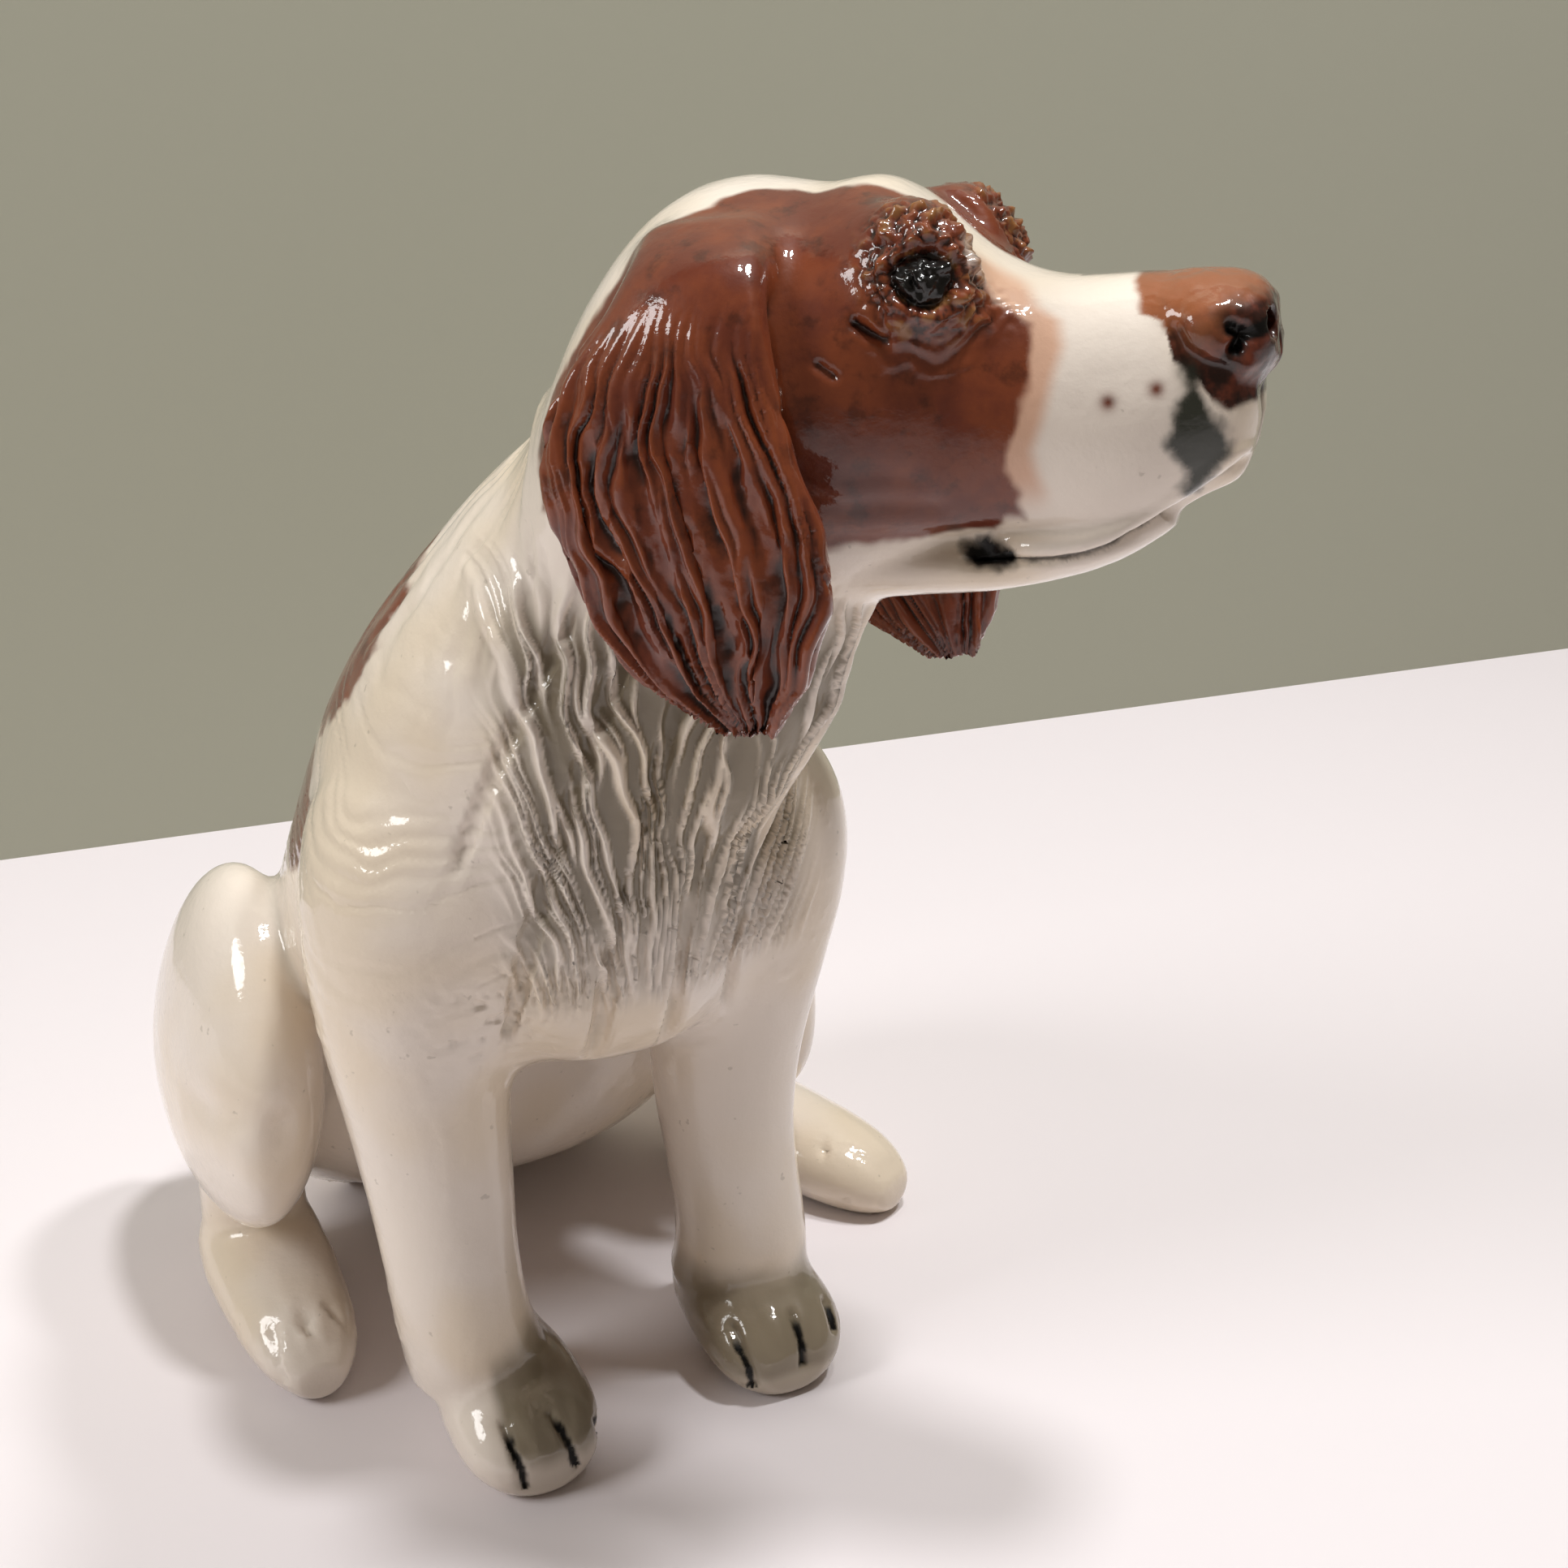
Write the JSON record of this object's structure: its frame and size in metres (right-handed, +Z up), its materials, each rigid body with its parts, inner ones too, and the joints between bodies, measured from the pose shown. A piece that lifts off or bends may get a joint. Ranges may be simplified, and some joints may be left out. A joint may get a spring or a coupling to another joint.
{
  "type": "dog figurine",
  "caption": "Seated spaniel figurine in glazed earthenware, head lifted and turned over its left shoulder, long hanging ears, straight forelegs and folded haunches",
  "frame": {"origin": "on the ground, under the middle of the figure's box", "axes": "+Z up, the dog faces -Y, its left side is towards +X"},
  "size_m": [0.0999, 0.1352, 0.1519],
  "materials": {
    "white_glaze": "clear glaze over white earthenware, pooled grey in the hollows",
    "face_glaze": "clear glaze over brown patches and a white blaze",
    "ear_glaze": "clear glaze over combed brown hair",
    "nose_glaze": "clear glaze over dark brown",
    "eye_glaze": "clear glaze over black brown",
    "brow_glaze": "clear glaze over rough brown clay"
  },
  "bodies": {
    "root": {"trunk": "white_glaze", "head": "face_glaze", "lower_jaw": "white_glaze", "nose": "nose_glaze", "left_ear": "ear_glaze", "right_ear": "ear_glaze", "left_eye": "eye_glaze", "right_eye": "eye_glaze", "left_brow": "brow_glaze", "right_brow": "brow_glaze", "left_foreleg": "white_glaze", "right_foreleg": "white_glaze", "left_haunch": "white_glaze", "right_haunch": "white_glaze", "left_hind_foot": "white_glaze", "right_hind_foot": "white_glaze", "tail": "white_glaze"}
  },
  "joints": []
}
